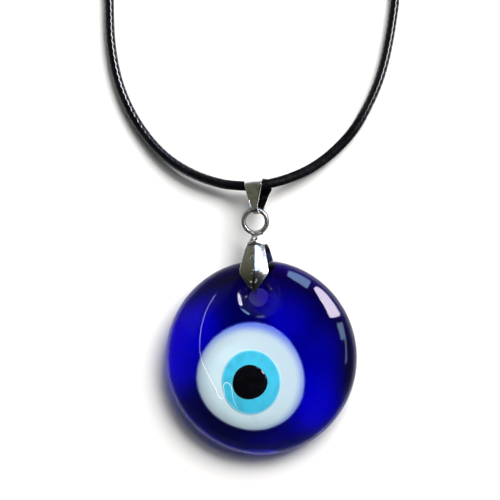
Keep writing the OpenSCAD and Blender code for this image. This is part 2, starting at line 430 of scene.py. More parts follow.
@dataclass(frozen=True)
class SilverPlate:
    """Bright plate on a cast part, with casting marks and pits on the ridge, and painted shade at the ring's
    sides, on the prongs' low parts and toward their tips.
    """

    name: str = "silver_plate"
    metal: Colour = (0.82, 0.81, 0.78, 1.0)
    worn: Colour = (0.62, 0.61, 0.55, 1.0)
    # The dull tone is painted shade toward the prongs' tips.
    dull: Colour = (0.1, 0.09, 0.05, 1.0)
    # The painted shade tone, for the ring's sides and the prongs' low parts.
    painted_shade_tone: Colour = (0.06, 0.06, 0.05, 1.0)
    ring_at: Triple = (-1.25, 28.6, 2.6)
    ring_r: float = 2.43
    half_wire: float = 0.47
    off_ring: Band = Band(1.3, 1.5)
    ring_side_shade: Band = Band(0.28, 0.6)
    ridge_at: Triple = (-1.75, 19.0, 0.0)
    off_ridge: Band = Band(0.3, 0.9)
    above_ridge: Band = Band(1.5, 2.5)
    off_tip: Band = Band(-2.5, 3.2)
    above_prongs: Band = Band(3.6, 4.2)
    neck_from: Band = Band(4.0, 4.8)
    neck_to: Band = Band(6.5, 7.0)
    front: Band = Band(4.1, 4.5)
    mark_size: float = 1.2
    mark_tone: Band = Band(0.45, 0.75)
    pit_size: float = 0.7
    pit_tone: Band = Band(0.6, 0.74)
    tip_painted_shade: float = 0.62
    under_painted_shade: float = 0.8
    side_shade_metallic: float = 0.97
    specular: float = 0.05
    polish: float = 0.08
    mark_rough: float = 0.12
    satin_rough: float = 0.14
    mark_relief: float = 0.15
    relief: float = 0.12

    def material(self) -> Finish:
        """Plates the part.

        Returns:
            The material.
        """
        graph = Graph.of(self.name)
        where = graph.place()
        x, y, _ = graph.axes(graph.place(LIE.spot(self.ring_at)))
        off_wire = (x.across(y) - self.ring_r).size() / self.half_wire
        near_ring = 1 - self.off_ring.of(off_wire)
        # Painted shade: the ring's wire is darker, and less metallic, at its sides.
        sides = self.ring_side_shade.of(off_wire) * near_ring
        x, y, _ = graph.axes(graph.place(LIE.spot(self.ridge_at)))
        near_ridge = (1 - self.off_ridge.of(x.size())) * (1 - self.above_ridge.of(y))
        neck = self.neck_from.of(y) * (1 - self.neck_to.of(y))
        # Painted shade on the prongs' parts that lie low over the table.
        under = (1 - self.front.of(graph.axes(where)[2])) * (1 - self.above_prongs.of(y))
        marks = graph.cloud(where, self.mark_size, 3.0)
        pits = self.pit_tone.of(graph.cloud(where, self.pit_size, 1.0)) * near_ridge
        metal = graph.mix(self.mark_tone.of(marks), self.metal, self.worn)
        # Painted shade: darker toward the prongs' tips.
        metal = graph.mix(self.tip_painted_shade * (1 - self.off_tip.of(y)), metal, self.dull)
        # Painted shade at the ring's sides.
        metal = graph.mix(sides, metal, self.painted_shade_tone)
        satin = near_ring * (1 - sides) + neck
        return graph.close({
            # Painted shade on those low parts.
            "Base Color": graph.mix(self.under_painted_shade * under, metal, self.painted_shade_tone),
            # The ring's painted shade is also less metallic.
            "Metallic": 1 - self.side_shade_metallic * sides,
            "Specular IOR Level": self.specular,
            "Roughness": self.polish + self.mark_rough * marks + self.satin_rough * satin,
            "Normal": graph.bump(marks * self.mark_relief + pits, self.relief),
        })


@dataclass(frozen=True)
class WaxedCotton:
    """Black waxed cotton yarn, read along each strand, with its wax rubbed dull by the bail."""

    yarn: Colour = (0.002, 0.002, 0.003, 1.0)
    dusty: Colour = (0.006, 0.006, 0.008, 1.0)
    dust_size: float = 1.5
    dust_tone: Band = Band(0.45, 0.7)
    rubbed_at: Triple = (8.0, 30.0, 0.0)
    waxed: Band = Band(13.2, 22.0)
    wax_size: float = 0.3
    fibres: float = 200.0
    fibre_lay: float = 9.0
    fibre_relief: float = 0.15
    relief: float = 0.008
    rough: float = 0.35
    dust_rough: float = 0.1
    specular: float = 0.03
    wax_rough: float = 0.09

    def material(self) -> Finish:
        """Waxes the yarn.

        Returns:
            The material.
        """
        graph = Graph.of("waxed_cotton")
        along, across, _ = graph.axes(graph.node("ShaderNodeUVMap", {"uv_map": "strand"}, {}).outputs[0])
        fibres = (across * self.fibres + along * self.fibre_lay).sine() * 0.5 + 0.5
        where = graph.place()
        patches = graph.cloud(where, self.dust_size, 3.0)
        wax = graph.cloud(where, self.wax_size, 1.0)
        x, y, _ = graph.axes(graph.place(self.rubbed_at))
        return graph.close({
            "Base Color": graph.mix(self.dust_tone.of(patches), self.yarn, self.dusty),
            "Roughness": self.rough + self.dust_rough * patches,
            "Specular IOR Level": self.specular,
            "Coat Weight": self.waxed.of(x.across(y)),
            "Coat Roughness": self.wax_rough,
            "Normal": graph.bump(fibres * self.fibre_relief + wax, self.relief),
        })


@dataclass(frozen=True)
class WhitePaper:
    """The matt white sheet on the table."""

    white: Colour = (0.86, 0.86, 0.86, 1.0)
    rough: float = 0.9
    specular: float = 0.2

    def material(self) -> Finish:
        """Returns the material."""
        inputs = {"Base Color": self.white, "Roughness": self.rough, "Specular IOR Level": self.specular}
        return Graph.of("white_paper").close(inputs)


# Modelling


class Ring(NamedTuple):
    """One level ring of a turned piece, in millimetres."""

    r: float
    z: float
    x: float = 0.0
    y: float = 0.0


def clear() -> None:
    """Leaves edit mode and deselects everything."""
    if bpy.context.object and bpy.context.object.mode != "OBJECT":
        bpy.ops.object.mode_set(mode="OBJECT")
    bpy.ops.object.select_all(action="DESELECT")


class Piece:
    """A mesh piece, with the modelling operators that are used on it."""

    def __init__(self, made: bpy.types.Object) -> None:
        """Keeps the object that holds the mesh."""
        self.made = made

    @classmethod
    def take(cls, name: str) -> "Piece":
        """Names the newest object and puts its place in its mesh.

        Args:
            name: The piece's name.

        Returns:
            The piece.
        """
        made = bpy.context.object
        made.name = made.data.name = name
        bpy.ops.object.transform_apply(location=True, rotation=True, scale=True)
        return cls(made)

    @classmethod
    def add(cls, name: str, operator: Callable[..., object], **settings: object) -> "Piece":
        """Adds a primitive.

        Args:
            name: The piece's name.
            operator: The operator that adds it.
            settings: What the operator is told.

        Returns:
            The piece.
        """
        clear()
        operator(**settings)
        return cls.take(name)

    @classmethod
    def tube(cls, name: str, stops: Sequence[Sequence[float]], radii: Sequence[float], bends: int) -> "Piece":
        """Draws a thin round thread through stops, as a curve that becomes a mesh.

        Args:
            name: The piece's name.
            stops: The stops, in millimetres.
            radii: The thread's radius at each stop, in millimetres.
            bends: How many parts each stretch has.

        Returns:
            The piece.
        """
        clear()
        bpy.ops.curve.primitive_bezier_curve_add(radius=MM)
        line = bpy.context.object.data
        points = line.splines[0].bezier_points
        points.add(len(stops) - len(points))
        for point, stop, radius in zip(points, stops, radii):
            point.co = Vector(stop) * MM
            point.radius = radius
            point.handle_left_type = point.handle_right_type = "AUTO"
        line.bevel_depth = MM
        line.bevel_resolution = 3
        line.resolution_u = bends
        line.use_fill_caps = True
        bpy.ops.object.convert(target="MESH")
        piece = cls.take(name)
        piece.face_out()
        return piece

    @classmethod
    def stack(
        cls, name: str, rings: Sequence[Ring], sides: int, closing: Closing, rule: Rule | None = None
    ) -> "Piece":
        """Extrudes a circle through rings, as a lathe would.

        Args:
            name: The piece's name.
            rings: The rings, in millimetres.
            sides: How many corners each has.
            closing: Whether the ends are closed at poles or joined to each other.
            rule: Moves each vertex before the ends are closed; its number over sides gives its ring.

        Returns:
            The piece.
        """
        places = [Vector((ring.x, ring.y, ring.z)) * MM for ring in rings]
        circle = bpy.ops.mesh.primitive_circle_add
        piece = cls.add(name, circle, vertices=sides, radius=rings[0].r * MM, location=places[0])
        piece.pick()
        for i in range(1, len(rings)):
            bpy.ops.mesh.extrude_region_move(TRANSFORM_OT_translate={"value": places[i] - places[i - 1]})
            grow = rings[i].r / rings[i - 1].r
            bpy.ops.transform.resize(value=(grow, grow, 1), center_override=places[i])
        if rule:
            piece.reshape(rule)
        if closing is Closing.HOOP:
            piece.pick(lambda index, place: index // sides in (0, len(rings) - 1))
            bpy.ops.mesh.bridge_edge_loops()
        else:
            for end in (len(rings) - 1, 0):
                piece.pick(lambda index, place: index // sides == end)
                bpy.ops.mesh.merge(type="CENTER")
        piece.face_out()
        return piece

    def hold(self) -> None:
        """Makes the piece the only one selected."""
        clear()
        self.made.select_set(True)
        bpy.context.view_layer.objects.active = self.made

    def pick(self, test: Callable[[int, Vector], bool] = lambda index, place: True) -> None:
        """Enters edit mode with some vertices selected, or all of them.

        Args:
            test: Takes a vertex's number and place, and says whether it is selected.
        """
        self.hold()
        bpy.ops.object.mode_set(mode="EDIT")
        bpy.ops.mesh.select_mode(type="VERT")
        bpy.ops.mesh.select_all(action="DESELECT")
        bpy.ops.object.mode_set(mode="OBJECT")
        for vertex in self.made.data.vertices:
            vertex.select = test(vertex.index, vertex.co)
        bpy.ops.object.mode_set(mode="EDIT")

    def reshape(self, rule: Rule) -> None:
        """Moves each vertex to where a rule says, in object mode.

        Args:
            rule: Takes a vertex's number and place, and gives its new place.
        """
        clear()
        for vertex in self.made.data.vertices:
            vertex.co = rule(vertex.index, vertex.co)
        self.made.data.update()

    def face_out(self) -> None:
        """Merges doubles and turns the faces outwards."""
        self.pick()
        bpy.ops.mesh.remove_doubles(threshold=1e-7)
        bpy.ops.mesh.select_all(action="SELECT")
        bpy.ops.mesh.normals_make_consistent(inside=False)
        bpy.ops.object.mode_set(mode="OBJECT")

    def modify(self, kind: str, **settings: object) -> None:
        """Adds a modifier and applies it.

        Args:
            kind: The modifier's type.
            settings: What is set on it.
        """
        self.hold()
        made = self.made.modifiers.new(kind.lower(), kind)
        for key, value in settings.items():
            setattr(made, key, value)
        bpy.ops.object.modifier_apply(modifier=made.name)

    def bevel(self, width: float, segments: int, angle_deg: float) -> None:
        """Rounds the edges that are sharper than an angle, by a width in millimetres."""
        limit = {"limit_method": "ANGLE", "angle_limit": math.radians(angle_deg)}
        self.modify("BEVEL", width=width * MM, segments=segments, use_clamp_overlap=True, **limit)

    def join(self, name: str, others: Sequence["Piece"]) -> "Piece":
        """Joins other pieces to this one.

        Args:
            name: The joined piece's name.
            others: The other pieces.

        Returns:
            The joined piece.
        """
        self.hold()
        for other in others:
            other.made.select_set(True)
        bpy.ops.object.join()
        return Piece.take(name)

    def move(self, matrix: Matrix) -> None:
        """Moves the mesh by a matrix, so that its object stays at the origin.

        Args:
            matrix: The matrix.
        """
        self.hold()
        self.made.matrix_world = matrix
        bpy.ops.object.transform_apply(location=True, rotation=True, scale=True)

    def dress(self, angle_deg: float, matrix: Matrix, finish: Finish, slot: Slot, *nodes: str) -> "Piece":
        """Shades the piece, moves it to its place, and gives it its material and body.

        Args:
            angle_deg: Edges sharper than this stay sharp.
            matrix: The way from its own frame to the table's.
            finish: Its material.
            slot: Not used.
            nodes: The CAD nodes that it stands for.

        Returns:
            The piece.
        """
        self.hold()
        bpy.ops.object.shade_smooth_by_angle(angle=math.radians(angle_deg))
        self.move(matrix)
        piece = self.made
        piece.data.materials.clear()
        piece.data.materials.append(finish)
        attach(piece, BODY)
        if nodes:
            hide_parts(*nodes)
        LOG.info("%s: %d vertices", piece.name, len(piece.data.vertices))
        return self


# The pendant's own frame


@dataclass(frozen=True)
class Lie:
    """How the pendant lies: leaning on its bail's back prong, in millimetres and degrees."""

    lean: float = 3.159
    lift: float = 1.0218
    shift: float = -8.5819

    def matrix(self) -> Matrix:
        """Returns the turn and lift from the disc's own frame to the table's, in metres."""
        turn = Matrix.Rotation(math.radians(self.lean), 4, "X")
        return Matrix.Translation((0, self.shift * MM, self.lift * MM)) @ turn

    def spot(self, place: Triple) -> Vector:
        """Returns where a place in the disc's own frame is over the table, in millimetres."""
        return self.matrix() @ (Vector(place) * MM) / MM


@dataclass(frozen=True)
class Dome:
    """The disc's form in its own frame: its flat back at height 0 and its axis at the origin."""

    radius: float = 20.0
    thick: float = 7.5
    rim: float = 3.5
    power: float = 3.4
    front_round: float = 1.2
    back_round: float = 0.6
    hole_x: float = -0.45
    hole_y: float = 12.4
    hole_r: float = 2.3
    bore_x: float = -0.6
    bore_y: float = 12.7
    bore_r: float = 1.95
    mouth_x: float = -0.58
    mouth_y: float = 13.3
    mouth_r: float = 4.6
    mouth_depth: float = 1.6
    mouth_slope: float = 0.72
    brim_turn: float = 0.22
    floor_turn: float = 0.02
    lip: float = 0.5
    oval: float = 0.42
    oval_power: int = 8
    ripple: float = 0.02
    ripple_mm: float = 7.0
    ripple_cut: float = 3.7

    def turned_height(self, r: float) -> float:
        """Returns the front's height at a distance from the axis, without its rounded edge."""
        return self.thick - (self.thick - self.rim) * (r / self.radius) ** self.power

    def tilt(self, r: float) -> float:
        """Returns the front's steepness there, in radians."""
        slope = (self.thick - self.rim) * self.power / self.radius
        return math.atan(slope * (r / self.radius) ** (self.power - 1))

    def dish(self, r: float) -> float:
        """Finds how deep the hole's mouth is.

        Args:
            r: The distance from the mouth's centre.

        Returns:
            The depth, which turns softly at the brim and at the floor.
        """
        fall = self.mouth_slope * (self.mouth_r - r)
        fall = 0.5 * (fall + math.sqrt(fall * fall + self.brim_turn))
        spare = self.mouth_depth - fall
        return self.mouth_depth - 0.5 * (spare + math.sqrt(spare * spare + self.floor_turn))

    def height(self, x: float, y: float) -> float:
        """Finds the front's height, with its mouth and its faint ripples.

        Args:
            x: The place across the disc.
            y: The place along it.

        Returns:
            The height over the back.
        """
        ripple = self.ripple * noise.noise(Vector((x, y, self.ripple_cut)) / self.ripple_mm)
        dish = self.dish(math.hypot(x - self.mouth_x, y - self.mouth_y))
        return self.turned_height(math.hypot(x, y)) - dish + ripple


DOME = Dome()
LIE = Lie()


@dataclass
class GlassDisc:
    """The poured glass disc with its cord hole, laid out in rings from the bore's back and round the rim."""

    dome: Dome = DOME
    finish: CobaltGlass = CobaltGlass()
    sides: int = 192
    bore_edge: tuple[Pair, ...] = ((0.0, 0.3), (0.09, 0.09), (0.3, 0.0))
    bore_floor: float = 0.3
    bore_levels: tuple[float, ...] = (0.0, 0.1, 0.2, 0.3, 0.45, 0.6, 0.8)
    bore_narrow: float = 0.6
    back_rings: int = 10
    heel_rings: int = 8
    edge_rings: int = 15
    dome_rings: int = 48
    mouth_rings: int = 20
    lip_rings: int = 6
    dome_in: float = 0.2
    mouth_skirt: float = 1.8
    lip_skirt: float = 2.9

    def _rings(self) -> list[tuple[Zone, Ring]]:
        """Lays out the rings, from the bore's back round the rim and back into the bore.

        Returns:
            Each ring and the part of the disc that it is on.
        """
        d = self.dome
        rings: list[tuple[Zone, Ring]] = []

        def add(zone: Zone, r: float, z: float, share: float = 1.0, low: float = 0.0) -> None:
            """Adds a ring, a share of the way from the disc's axis to the hole's, or to its low end's."""
            centre = Vector((d.hole_x, d.hole_y)).lerp(Vector((d.bore_x, d.bore_y)), low) * share
            rings.append((zone, Ring(r, z, centre.x, centre.y)))

        for r, z in self.bore_edge:
            add(Zone.BACK, d.bore_r + r, z, low=1.0)
        heel, bore = d.radius - d.back_round, d.bore_r + self.bore_edge[-1][0]
        for i in range(1, self.back_rings + 1):
            t = i / self.back_rings
            add(Zone.BACK, (1 - t) * bore + t * heel, 0.0, 1 - t, 1.0)
        for i in range(1, self.heel_rings + 1):
            a = math.pi / 2 * (i / self.heel_rings - 1)
            add(Zone.BACK, heel + d.back_round * math.cos(a), d.back_round * (1 + math.sin(a)), 0.0)
        dome_r = d.radius - d.front_round
        tilt = d.tilt(dome_r)
        edge = d.front_round / (1 - math.sin(tilt))
        edge_z = d.turned_height(dome_r) - edge * math.cos(tilt)
        for i in range(self.edge_rings):
            a = i / self.edge_rings * (math.pi / 2 - tilt)
            add(Zone.SIDE, d.radius - edge + edge * math.cos(a), edge_z + edge * math.sin(a), 0.0)
        add(Zone.FRONT, dome_r, 0.0, 0.0)
        outer, inner = dome_r - self.dome_in, d.mouth_r + self.mouth_skirt
        for i in range(self.dome_rings + 1):
            t = i / self.dome_rings
            add(Zone.FRONT, (1 - t) * outer + t * inner, 0.0, t)
        for i in range(1, self.mouth_rings + 1):
            add(Zone.FRONT, inner + (self.lip_skirt - inner) * i / self.mouth_rings, 0.0)
        cone = math.atan(d.mouth_slope)
        for i in range(self.lip_rings, 0, -1):
            b = i / self.lip_rings * (math.pi / 2 - cone)
            add(Zone.LIP, d.hole_r + d.lip * (1 - math.cos(b)), d.lip * (math.sin(b) - math.cos(cone)))
        for z in self.bore_levels:
            low = min(z / self.bore_narrow, 1.0)
            low = low * low * (3 - 2 * low)
            add(Zone.BORE, d.hole_r + (d.bore_r - d.hole_r) * low, z, low=low)
        return rings

    def build(self) -> Piece:
        """Models and dresses the disc.

        Returns:
            The piece.
        """
        d = self.dome
        rings = self._rings()
        cone = math.atan(d.mouth_slope)
        lip_r = d.hole_r + d.lip * (1 - math.sin(cone))

        def at_lip(x: float, y: float) -> float:
            """Returns the front's height where the lip starts, in a place's direction from the hole."""
            arm = Vector((x - d.hole_x, y - d.hole_y)).normalized() * lip_r
            return d.height(d.hole_x + arm.x, d.hole_y + arm.y)

        def rule(index: int, place: Vector) -> Vector:
            """Lifts the rings of the front onto the dome, and draws the rim out a little along y.

            Args:
                index: The vertex's number.
                place: Its place on its ring.

            Returns:
                Its place on the disc.
            """
            zone, ring = rings[index // self.sides]
            x, y, z = place / MM
            if zone is Zone.FRONT:
                z = d.height(x, y)
            elif zone is Zone.LIP:
                z = at_lip(x, y) + ring.z
            elif zone is Zone.BORE:
                top = at_lip(x, y) - d.lip * math.cos(cone)
                z = top - (top - self.bore_floor) * ring.z
            y += d.oval * y / d.radius * (math.hypot(x, y) / d.radius) ** d.oval_power
            return Vector((x, y, z)) * MM

        stack = [ring for _, ring in rings]
        piece = Piece.stack("blue_glass_disc", stack, self.sides, Closing.HOOP, rule)
        return piece.dress(60, LIE.matrix(), self.finish.material(), Slot.BLUE, "glass_disc")


@dataclass(frozen=True)
class Wave:
    """One slow wave that pulls an outline out of round."""

    size: float
    count: int
    at_deg: float

    def at(self, angle: float) -> float:
        """Returns the wave's height at an angle, in millimetres."""
        return self.size * math.cos(self.count * (angle - math.radians(self.at_deg)))


@dataclass
class EyeLayer:
    """One drop of the eye: a lens of opaque glass, sunk into the layer below it.

    The profile's rows are a share of the outline and the height over the dome. The underside's rows are a
    share of the outline and the height over the drop's floor.
    """

    name: str
    node: str
    slot: Slot
    finish: MeltedGlass
    x: float
    y: float
    radius: float
    floor: float
    waves: tuple[Wave, ...]
    profile: tuple[Pair, ...]
    underside: tuple[Pair, ...] = ((0.02, 0.0), (0.7, 0.0), (0.94, 0.5))
    inner: tuple[float, ...] = (0.8, 0.6, 0.4, 0.2, 0.02)
    sides: int = 128
    dome: Dome = DOME

    def build(self) -> Piece:
        """Models and dresses the layer.

        Returns:
            The piece.
        """
        rows = [*self.underside, *self.profile, *((share, self.profile[-1][1]) for share in self.inner)]
        rings = [Ring(self.radius * share, 0.0, self.x, self.y) for share, _ in rows]

        def rule(index: int, place: Vector) -> Vector:
            """Gives a vertex its wavy outline and its height.

            Args:
                index: The vertex's number.
                place: Its place on its ring.

            Returns:
                Its place on the drop.
            """
            x, y = place.x / MM - self.x, place.y / MM - self.y
            turn = math.atan2(y, x)
            share = 1 + sum(wave.at(turn) for wave in self.waves) / self.radius
            x, y = self.x + x * share, self.y + y * share
            ring = index // self.sides
            base = self.floor if ring < len(self.underside) else self.dome.height(x, y)
            return Vector((x, y, base + rows[ring][1])) * MM

        piece = Piece.stack(self.name, rings, self.sides, Closing.POLES, rule)
        return piece.dress(60, LIE.matrix(), self.finish.material(), self.slot, self.node)


@dataclass
class GlassThread:
    """The hair-thin thread of white glass that trails over the disc and the eye."""

    proud: float = 0.03
    stops: tuple[Pair, ...] = (
        (-9.5, 13.5), (-11.1, 10.9), (-12.2, 7.8), (-12.7, 4.4), (-12.5, 0.4), (-11.2, -2.7),
        (-9.5, -6.1), (-8.4, -8.0), (-7.9, -7.8), (-7.7, -6.4), (-7.8, -5.1), (-7.3, -4.6),
        (-6.6, -4.9), (-6.2, -5.6), (-6.0, -6.8), (-5.75, -8.3), (-4.9, -10.0),
    )
    radii: tuple[float, ...] = (0.0385,) * 5 + (0.0605,) * 9 + (0.04125,) * 3
    finish: MeltedGlass = MeltedGlass(
        "thread_melt", body=(0.96, 0.98, 1.0, 1), cloudy=(0.9, 0.95, 1.0, 1), edge=(0.45, 0.42, 0.85, 1),
        centre=(-2.6, -4.3, 6.5), radius=11.0, fade=1.2,
    )

    def build(self) -> Piece:
        """Lays the thread on the glass and dresses it.

        Returns:
            The piece.
        """
        stops = [(x, y, DOME.height(x, y) + self.proud) for x, y in self.stops]
        piece = Piece.tube("glass_thread", stops, self.radii, bends=10)
        return piece.dress(60, LIE.matrix(), self.finish.material(), Slot.WHITE)


class Section(NamedTuple):
    """A section across a cast part: its place, half width and shift, and its heights from the lowest."""

    y: float
    half: float
    shift: float
    low_middle: float
    low_edge: float
    high_edge: float
    high_middle: float

    @classmethod
    def even(cls, y: float, half: float, shift: float, edge: float, middle: float) -> "Section":
        """Returns a section that is the same below as above."""
        return cls(y, half, shift, -middle, -edge, edge, middle)


@dataclass(frozen=True)
class Prong:
    """One prong: its heights at its widest place and tip, and how far it leans at root, widest and tip."""

    side: Side
    wide_z: float
    tip_z: float
    root_x: float
    wide_x: float
    tip_x: float


@dataclass
class PinchBail:
    """The cast pinch bail: a ring, a shoulder with a crown band, and two ridged prongs with pegs.

    The outline's rows are a prong's y, its half width and its ridge's height. The straps' rows are the two
    ends of each round strap between the ring and the shoulder. The rounded edges are those of the shoulder,
    the crown, the front prong and the back one.
    """

    side: float = -1.25
    lift: float = 2.6
    ring_y: float = 28.6
    ring_r: float = 2.42
    wire: float = 0.94
    ring_deep: float = 1.5
    top_y: float = 23.8
    widest_y: float = 18.2
    tip_y: float = 14.3
    root_z: float = 0.45
    thick: float = 0.5
    prongs: tuple[Prong, ...] = (
        Prong(Side.FRONT, 2.78, 4.12, -0.05, -0.3, -0.35), Prong(Side.BACK, 3.3, 2.95, 0.8, 1.2, -0.35),
    )
    outline: tuple[Triple, ...] = (
        (23.8, 1.72, 0.62), (22.8, 2.12, 0.66), (20.6, 2.62, 0.74), (18.6, 3.02, 0.8),
        (17.9, 2.92, 0.78), (15.8, 1.52, 0.45), (14.3, 0.14, 0.12),
    )
    shoulder: tuple[Section, ...] = (
        Section.even(23.4, 1.68, 0.0, 0.95, 1.7), Section.even(24.5, 1.42, 0.15, 0.8, 1.35),
        Section.even(25.4, 1.16, 0.3, 0.6, 0.9), Section.even(26.3, 1.0, 0.3, 0.3, 0.4),
    )
    crown: tuple[Section, ...] = (
        Section.even(23.45, 1.9, 0.05, 1.2, 2.0), Section.even(24.2, 1.78, 0.08, 1.1, 1.9),
    )
    crown_peak: float = 0.65
    knob_at: Triple = (1.15, 26.1, -0.1)
    knob_r: float = 0.55
    straps: tuple[tuple[Triple, Triple], ...] = (
        ((-1.3, 26.7, 0.25), (0.5, 24.9, 1.15)), ((1.5, 26.6, 0.15), (-0.5, 24.9, 1.15)),
        ((1.1, 26.3, -0.5), (1.35, 24.6, -0.3)),
    )
    strap_r: float = 0.34
    peg_y: float = 14.15
    peg_r: float = 0.3
    peg_len: float = 2.6
    peg_sunk: float = 0.3
    peg_turn: float = -0.25
    rounded: tuple[float, ...] = (0.14, 0.2, 0.3, 0.12)

    @staticmethod
    def _loft(name: str, sections: Sequence[Section]) -> Piece:
        """Pulls a block, cut across and once along its middle, onto sections.

        Args:
            name: The piece's name.
            sections: The sections, in millimetres.

        Returns:
            The piece, in the bail's own frame.
        """
        last = len(sections) - 1
        cube = bpy.ops.mesh.primitive_cube_add
        piece = Piece.add(name, cube, size=1, location=(0, 0.5, 0.5), scale=(2, 1, 1))
        piece.pick()
        bpy.ops.mesh.bisect(plane_co=(0, 0, 0), plane_no=(1, 0, 0))
        for i in range(1, last):
            piece.pick()
            bpy.ops.mesh.bisect(plane_co=(0, i / last, 0), plane_no=(0, 1, 0))

        def rule(index: int, place: Vector) -> Vector:
            """Finds a corner's section and its place in it.

            Args:
                index: The corner's number.
                place: Its place on the block.

            Returns:
                Its place on the section.
            """
            cut = sections[round(place.y * last)]
            if abs(place.x) < 0.5:
                z = cut.high_middle if place.z > 0.5 else cut.low_middle
            else:
                z = cut.high_edge if place.z > 0.5 else cut.low_edge
            return Vector((cut.shift + cut.half * round(place.x), cut.y, z)) * MM

        piece.reshape(rule)
        piece.face_out()
        return piece

    def _prong(self, prong: Prong) -> list[Piece]:
        """Models one prong and its peg.

        Args:
            prong: Which one.

        Returns:
            The prong and the peg.
        """
        root, wide = Vector((prong.root_x, self.root_z)), Vector((prong.wide_x, prong.wide_z))
        tip = Vector((prong.tip_x, prong.tip_z))
        sections = []
        for y, half, ridge in self.outline:
            if y >= self.widest_y:
                shift, low = root.lerp(wide, (self.top_y - y) / (self.top_y - self.widest_y))
            else:
                shift, low = wide.lerp(tip, (self.widest_y - y) / (self.widest_y - self.tip_y))
            high = low + self.thick
            sections.append(Section(y, half, shift, low, low, high, high + ridge))
        blade = self._loft("prong", sections)
        peg_z = prong.tip_z + self.peg_sunk - self.peg_len / 2
        peg = Piece.add(
            "peg", bpy.ops.mesh.primitive_cylinder_add, vertices=24, radius=self.peg_r * MM,
            depth=self.peg_len * MM, location=Vector((0, self.peg_y, peg_z)) * MM,
            rotation=(self.peg_turn, 0, 0),
        )
        pieces = [blade, peg]
        if prong.side is Side.BACK:
            for piece in pieces:
                piece.move(Matrix.Scale(-1, 4, (0, 0, 1)))
                piece.face_out()
        return pieces

    def _strap(self, start: Triple, end: Triple) -> Piece:
        """Models one round strap between two places in millimetres."""
        a, b = Vector(start) * MM, Vector(end) * MM
        return Piece.add(
            "strap", bpy.ops.mesh.primitive_cylinder_add, vertices=20, radius=self.strap_r * MM,
            depth=(b - a).length, location=(a + b) / 2, rotation=(b - a).to_track_quat("Z", "Y").to_euler(),
        )

    def build(self, plate: Finish) -> Piece:
        """Models and dresses the bail.

        Args:
            plate: Its finish.

        Returns:
            The piece.
        """
        hoop = Piece.add(
            "hoop", bpy.ops.mesh.primitive_torus_add, major_radius=self.ring_r * MM,
            minor_radius=self.wire / 2 * MM, major_segments=72, minor_segments=20,
            location=(0, self.ring_y * MM, 0),
        )
        hoop.move(Matrix.Scale(self.ring_deep, 4, (0, 0, 1)))
        shoulder = self._loft("shoulder", self.shoulder)
        crown = self._loft("crown", self.crown)
        crown.pick(lambda index, place: abs(place.x) < 0.5 * MM)
        bpy.ops.transform.translate(value=(0, self.crown_peak * MM, 0))
        knob = Piece.add(
            "knob", bpy.ops.mesh.primitive_uv_sphere_add, segments=24, ring_count=16,
            radius=self.knob_r * MM, location=Vector(self.knob_at) * MM,
        )
        straps = [self._strap(start, end) for start, end in self.straps]
        front, front_peg, back, back_peg = (piece for prong in self.prongs for piece in self._prong(prong))
        for part, width in zip((shoulder, crown, front, back), self.rounded):
            part.bevel(width, segments=3, angle_deg=24)
        others = [crown, knob, *straps, front, front_peg, back, back_peg, hoop]
        own = Matrix.Translation((self.side * MM, 0, self.lift * MM))
        body = shoulder.join("pinch_bail_cast", others)
        return body.dress(40, LIE.matrix() @ own, plate, Slot.SILVER, "pinch_bail")


